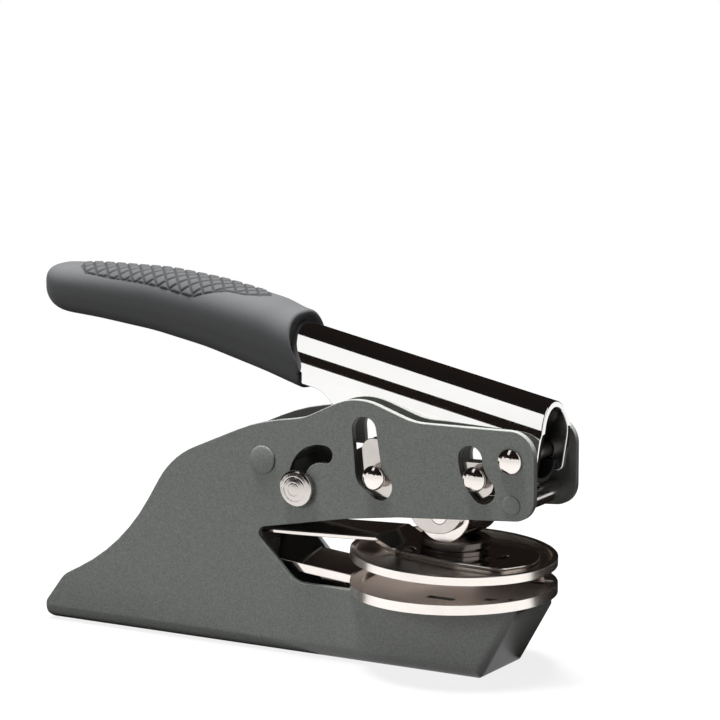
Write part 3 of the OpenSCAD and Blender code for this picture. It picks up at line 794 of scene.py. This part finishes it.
def makeShank(name, pin):
    # the plain pin between two heads: a circle at each end, both closed
    x, z, radius, reach = pin["x"], pin["z"], pin["shank"], pin["seat"]
    ends = np.array([-reach, reach])[:, None]
    spin = np.linspace(0, 2 * np.pi, headShape["shankAround"], endpoint=False)
    rings = np.stack([x + radius * np.cos(spin) + 0 * ends, ends + 0 * spin, z + radius * np.sin(spin) + 0 * ends],
                     axis=-1)
    piece = meshFromGrid(name, rings, closeFirstTo=np.array([x, -reach, z]), closeLastTo=np.array([x, reach, z]))
    # painted shade on the shank between the plates
    tagPoints(piece.data, np.full(len(piece.data.vertices), headShape["shankDull"]))
    piece.data.materials.append(finishes["nickel"])
    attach(piece, pin["body"])
    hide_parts(pin["node"])


for name, pin in pins.items():
    makePinHead(name + "HeadNear", pin, -1)
    makePinHead(name + "HeadFar", pin, 1)
for name, pin in pins.items():
    makeShank(name + "Shank", pin)

knob = {
    # radius and distance out from its seat, in mm, from the back to the middle of the face
    "profile": ((2.0, 0.0), (4.95, 0.0), (5.3, 0.25), (5.4, 0.5), (5.4, 1.5), (5.25, 1.8), (4.9, 2.02),
                (4.3, 2.2), (3.75, 2.38), (3.6, 2.28), (3.45, 2.42), (2.6, 2.68), (2.05, 2.84), (1.9, 2.74),
                (1.75, 2.88), (0.8, 3.06), (0.1, 3.09)),
    "ridges": (0.006, 22, 4.8),     # depth of the turned ridges, how close they stand, radius they reach
    "place": (-43.52, 50.10), "seat": 14.3, "dull": 0.28,
}


def makeKnob():
    # the listed profile joined by straight runs, resampled evenly and softened, then spun about the pin
    table = np.array(knob["profile"])
    run = np.concatenate([[0], np.cumsum(np.hypot(*np.diff(table, axis=0).T))])
    even = np.linspace(0, run[-1], 150)
    radii, heights = np.interp(even, run, table[:, 0]), np.interp(even, run, table[:, 1])
    soft = np.array([1, 2, 3, 2, 1]) / 9
    radii[2:-2], heights[2:-2] = np.convolve(radii, soft, "valid"), np.convolve(heights, soft, "valid")
    depth, close, reach = knob["ridges"]
    heights += depth * np.sin(radii * close) * (radii < reach)
    x, z = knob["place"]
    lathedPiece("lockKnobTurned", radii, heights, x, z, knob["seat"], -1, "nickel", "lock", "lock_knob", knob["dull"])


makeKnob()

tieHeads = {
    # painted heads of the two ties: node, place (x, z) and profile of radius and height
    "frontTie": ("front_tie_rivet", (25.8, 52.3),
                 ((2.2, -0.3), (2.75, -0.3), (2.78, 0.1), (2.74, 0.2), (2.62, 0.27), (2.4, 0.29),
                  (0.1, 0.29))),
    "rearTie": ("rear_tie_rivet", (-55.6, 57.1),
                ((3.5, -0.3), (4.1, -0.3), (4.14, 0.3), (4.08, 0.46), (3.9, 0.56), (3.5, 0.62), (2.6, 0.74),
                 (1.3, 0.82), (0.1, 0.84))),
}


def makeTies():
    # the listed profile spun about the tie, on both sides of the shell
    for name, (node, (x, z), profile) in tieHeads.items():
        radii, heights = np.array(profile).T
        for side, label in ((-1, "HeadNear"), (1, "HeadFar")):
            lathedPiece(name + label, radii, heights, x, z, shellHalf, side, "shell_paint", "shell", node)


makeTies()
print("pins and knob made")

# every node that stays takes the finish its material slot is named after
for nodeObject in nodes.values():
    for place in nodeObject.material_slots:
        label = place.material.name.split(".")[0] if place.material else "nickel"
        place.material = finishes.get(label, finishes["nickel"])
print("nodes finished")

bpy.context.scene.view_settings.view_transform = "Standard"
